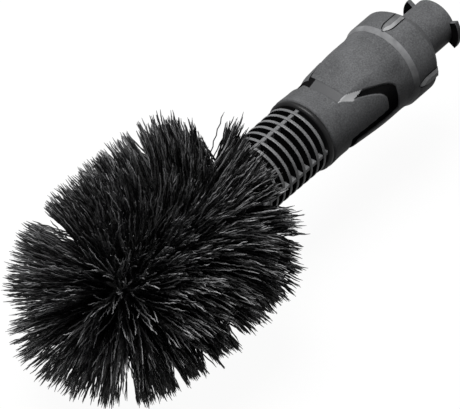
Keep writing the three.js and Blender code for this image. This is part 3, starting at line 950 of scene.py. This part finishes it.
# For each ring of tufts: its slice, its place on the core, how many tufts, their lean and reach.
tuft_rings = [
    ("rear", 158.2, 26, -20, 0.47 * full_reach),
    ("rear", 164.2, 26, -15, 0.66 * full_reach),
    ("rear", 170.2, 26, -12, 0.84 * full_reach),
    ("middle", 176.2, 26, -10, 0.98 * full_reach),
    ("middle", 182.2, 26, -12, 0.98 * full_reach),
    ("middle", 188.2, 26, -7, full_reach),
    ("front", 194.2, 26, -7, full_reach),
    ("front", 200.2, 26, -1, full_reach),
    ("front", 206.2, 26, 1, full_reach),
    ("nose", 212.2, 26, 8, full_reach),
    ("nose", 218.2, 26, 8, full_reach),
    ("nose", 224.4, 26, 7, full_reach),
    ("nose", 229.3, 24, 13, 0.99 * full_reach),
]
for lean, count in ((18, 22), (33, 18), (48, 15), (63, 11), (78, 6)):
    place = dome_middle + core_radius * math.sin(math.radians(lean))
    tuft_rings.append(("nose", place, count, lean, dome_reach))

# A tuft's turn and lean miss their marks by a few degrees.
turn_error = 2.4
lean_error = 2.6
# Its filaments come out of one hole, gather in a few locks and stray a little from them. Lock and
# stray are shares of the reach.
filaments_in_tuft = 19
hole_radius = 1.1
hole_depth = 0.5
locks_in_tuft = 3
lock_spread = 0.085
stray_spread = 0.055
stray_unevenness = 0.45
stray_limit = 1.7
# Their lengths differ, also as shares of the reach.
lock_length_error = 0.02
length_error = 0.09
# Along its course a filament splays out, bows to one side, and is crimped to and fro.
splay_power = 1.3
bow = 0.9
crimp_points = 15
first_crimp = 0.12
crimp_height = 0.31
least_crimp = 0.4
crimp_twist = 0.4

# The bristles reach less far where the brush has been laid down: each place is given as the angle
# of its middle, its spread and the share of the reach that is lost.
worn_places = [(120, 36, 0.07), (-60, 26, 0.07)]

# The ends are trimmed round by the segment, and a shallow groove is left between two segments.
groove_places = (177, 194, 213, 233)
groove_depth = 0.1
groove_width = 3.2


def filament_paths(place, root_radius, count, first_degrees, lean_degrees, reach, chance):
    """The course of every filament in one ring of tufts, as an array of filaments by points."""
    tuft = np.repeat(np.arange(count), filaments_in_tuft)
    number = len(tuft)
    even_degrees = first_degrees + 360 * np.arange(count) / count
    tuft_degrees = even_degrees + chance.normal(0, turn_error, count)
    tuft_angle = np.radians(tuft_degrees)
    lean = np.radians(lean_degrees + chance.normal(0, lean_error, count))
    outward = np.stack([np.zeros(count), np.sin(tuft_angle), np.cos(tuft_angle)], 1)
    sideways = np.stack([np.zeros(count), np.cos(tuft_angle), -np.sin(tuft_angle)], 1)
    along = outward * np.cos(lean)[:, None]
    along[:, 0] = np.sin(lean)
    across = np.cross(along, sideways)
    roots = outward * (root_radius - hole_depth)
    roots[:, 0] = place

    lock_places = chance.uniform(-1, 1, (count, locks_in_tuft, 2))
    lock = chance.integers(0, locks_in_tuft, number)
    locked = lock_spread * reach * lock_places[tuft, lock]
    unevenness = chance.lognormal(0, stray_unevenness, (number, 1))
    stray = stray_spread * reach * np.minimum(unevenness, stray_limit)
    offsets = locked + chance.normal(0, 1, (number, 2)) * stray
    hole = chance.normal(0, hole_radius / 2, (number, 2))

    worn = np.ones(number)
    for angle, spread, lost in worn_places:
        from_worn = (tuft_degrees[tuft] - angle + 180) % 360 - 180
        worn -= lost * np.exp(-((from_worn / spread) ** 2) / 2)
    lock_lengths = chance.normal(0, lock_length_error, (count, locks_in_tuft))[tuft, lock]
    shorter = np.abs(chance.normal(0, length_error, number))
    length = reach * worn * (1 + lock_lengths - shorter)

    steps = np.concatenate([[0], np.linspace(first_crimp, 1, crimp_points - 1)])
    share = steps[None, :, None]
    side = hole[:, None, :] * (1 - share) + offsets[:, None, :] * share**splay_power
    wave = crimp_height * chance.uniform(least_crimp, 1, (number, crimp_points))
    wave *= (-1.0) ** np.arange(crimp_points)[None, :]
    wave[:, :2] = 0
    plane = chance.uniform(0, 2 * np.pi, number)[:, None]
    plane = plane + chance.normal(0, crimp_twist, (number, crimp_points))
    side = side + np.sin(np.pi * share) * chance.normal(0, bow, (number, 1, 2))
    side[:, :, 0] += wave * np.cos(plane)
    side[:, :, 1] += wave * np.sin(plane)

    # What a filament goes sideways it lacks in reach, though by no more than three tenths.
    far = np.sqrt(np.maximum(1 - (side[:, -1:, :] ** 2).sum(2) / length[:, None] ** 2, 0.5))
    run = length[:, None] * steps[None, :] * far
    course = (
        along[tuft][:, None, :] * run[:, :, None]
        + across[tuft][:, None, :] * side[:, :, :1]
        + sideways[tuft][:, None, :] * side[:, :, 1:]
    )
    end_place = place + course[:, -1, 0]
    for groove in groove_places:
        in_groove = np.exp(-(((end_place - groove) / groove_width) ** 2))
        course *= 1 - groove_depth * in_groove[:, None, None]
    return roots[tuft][:, None, :] + course


# The tufts of the nose part round a whorl. Its place, like the partings' below, is given in
# millimetres right and up from the middle of the core's dome, as the viewer sees it.
whorl_place = np.array((-1.8, -3.1))
whorl_push = 5
whorl_stray = 1.4
whorl_room = 36
whorl_power = 1.4
whorl_unevenness = (-0.3, 1.6)

# The tufts have parted in a few places. Each parting is a line, given by where it starts, where it
# ends and its half width at the end.
partings = [
    ((44.5, 53.0), (40.0, 73.0), 7.4),
    ((52.0, 33.0), (76.0, 40.5), 5.0),
    ((17.8, 44.3), (6.0, 66.0), 1.6),
    ((-14.0, 12.0), (-41.0, 34.6), 4.4),
    ((-28.8, -18.1), (-52.5, -22.8), 2.0),
    ((3.2, -23.5), (3.7, -51.2), 2.6),
    ((34.9, -4.7), (46.5, -16.3), 2.2),
    ((25.6, -18.6), (34.0, -28.8), 2.0),
    ((15.0, -22.0), (22.5, -36.0), 1.6),
    ((60.5, 27.0), (82.8, 21.9), 2.4),
]
parting_power = 0.7
parting_room = 2
parting_unevenness = (0.65, 1.2)
# The whorl's push grows towards the viewer, and a parting opens along its line. Both stop growing
# at this share of the way.
growth_limit = 1.3

seen_right, seen_up, seen_back = (np.array(v) for v in (camera_right, camera_up, camera_back))


def as_seen(paths):
    """How far the points of the filaments lie right and up for the viewer, and how near."""
    from_dome = paths - np.array([dome_middle, 0, 0])
    return np.stack([from_dome @ seen_right, from_dome @ seen_up], -1), from_dome @ seen_back


def parted(paths, chance):
    """Filaments beside a parting lean away from it, and those round the whorl lean outwards, and
    more so towards their tips."""
    seen, near = as_seen(paths)
    seen = seen - whorl_place
    nearness = np.clip(near / dome_reach, 0, growth_limit) ** whorl_power
    distance = np.linalg.norm(seen, axis=-1, keepdims=True)
    tip_course = seen[:, -1:, :] / np.maximum(distance[:, -1:, :], 0.1)
    push = tip_course * whorl_push * nearness[..., None] * np.exp(-distance / whorl_room)
    push = push * chance.uniform(*whorl_unevenness, (len(paths), 1, 1))
    push = push + chance.normal(0, whorl_stray, (len(paths), 1, 2)) * nearness[..., None] ** 2
    paths = paths + push[..., :1] * seen_right + push[..., 1:] * seen_up
    for start, end, half_width in partings:
        start, line = np.array(start), np.array(end) - np.array(start)
        line_length = np.linalg.norm(line)
        line = line / line_length
        seen = as_seen(paths)[0] - start
        down_line = seen @ line
        off_line = seen @ np.array([-line[1], line[0]])
        way = np.clip(down_line / line_length, 0, growth_limit)
        opening = half_width * way**parting_power
        room = 3 * half_width + parting_room
        push = np.sign(off_line[:, -1:]) * opening * np.exp(-np.abs(off_line) / room)
        push = push * chance.uniform(*parting_unevenness, (len(paths), 1))
        paths = paths + push[..., None] * (seen_up * line[0] - seen_right * line[1])
    return paths


# Black nylon filament has a satin skin, and no two filaments have quite the same shade. The tone
# that the mesh carries takes them from black at the root, a painted shade, to a light grey
# towards the tips that is partly wear and partly a painted sheen.
root_shade_painted_black = (0.001, 0.001, 0.00105, 1)
tip_wear_and_sheen_grey = (0.5, 0.5, 0.51, 1)
nylon_roughness = (0.22, 0.36)
batch_size = 1.2
bristle_nylon, tree, shader = new_material("bristle_nylon")
batch = clouds(tree, batch_size, detail=2)
mottled = reckoned(tree, "MULTIPLY", marked(tree, "tone"), batch)
doubled = reckoned(tree, "MULTIPLY", mottled, 2)
shade = mixed(tree, "RGBA", doubled, root_shade_painted_black, tip_wear_and_sheen_grey)
tree.links.new(shade, shader.inputs["Base Color"])
tree.links.new(ranged(tree, batch, *nylon_roughness), shader.inputs["Roughness"])
shader.inputs["Specular IOR Level"].default_value = 0.5

# A filament is drawn along its course with a section of three corners. It tapers a little, and its
# cut end is rounded off.
filament_radius = 0.365
tip_share = 0.92
cut_end_share = 0.3
section_curve = bpy.data.curves.new("filament_section", "CURVE")
section_line = section_curve.splines.new("POLY")
section_line.points.add(2)
for point, degrees in zip(section_line.points, (0, 120, 240)):
    turn = math.radians(degrees)
    point.co = (filament_radius * math.cos(turn), filament_radius * math.sin(turn), 0, 1)
section_line.use_cyclic_u = True
section = bpy.data.objects.new("filament_section", section_curve)
bpy.context.scene.collection.objects.link(section)
thickness = np.linspace(1, tip_share, crimp_points)
thickness[-1] = cut_end_share

# Most filaments stay dark, and a few turn a light grey over their outer part: partly wear, partly a
# painted sheen.
tone_odds = (0.35, 0.9)
shade_to_sheen_power = 1.2
chance = np.random.default_rng(26)
for ring, (slice_name, place, count, lean, reach) in enumerate(tuft_rings):
    first_degrees = 180 * (ring % 2) / count
    root_radius = core_radius_at(place)
    paths = filament_paths(place, root_radius, count, first_degrees, lean, reach, chance)
    paths = parted(paths, chance)
    tones = chance.beta(*tone_odds, len(paths))
    curve = bpy.data.curves.new("filaments", "CURVE")
    curve.dimensions = "3D"
    curve.bevel_mode = "OBJECT"
    curve.bevel_object = section
    curve.use_fill_caps = True
    for path in paths:
        line = curve.splines.new("POLY")
        line.points.add(crimp_points - 1)
        line.points.foreach_set("co", np.column_stack([path, np.ones(crimp_points)]).ravel())
        line.points.foreach_set("radius", thickness)
    strung = bpy.data.objects.new("filaments", curve)
    bpy.context.scene.collection.objects.link(strung)
    bent = strung.evaluated_get(bpy.context.evaluated_depsgraph_get())
    mesh = bpy.data.meshes.new_from_object(bent)

    corners = np.empty(3 * len(mesh.vertices))
    mesh.vertices.foreach_get("co", corners)
    corners = corners.reshape(-1, 3)
    corners[:, 0] = np.maximum(corners[:, 0] - dome_middle, 0)
    from_core = np.linalg.norm(corners, axis=1) - core_radius
    shade_to_sheen = np.clip(from_core / full_reach, 0, 1) ** shade_to_sheen_power
    bristle_bm = bmesh.new()
    bristle_bm.from_mesh(mesh)
    tufts = settled(bristle_bm, f"{slice_name}_tufts_{ring + 1}", bristle_nylon)
    corners_each = len(tufts.data.vertices) // len(paths)
    tone = tufts.data.attributes.new("tone", "FLOAT", "POINT")
    tone.data.foreach_set("value", np.repeat(tones, corners_each) * shade_to_sheen)
    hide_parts(slice_name + "_bristles")

    bpy.data.objects.remove(strung)
    bpy.data.curves.remove(curve)
    bpy.data.meshes.remove(mesh)
bpy.data.objects.remove(section)
bpy.data.curves.remove(section_curve)
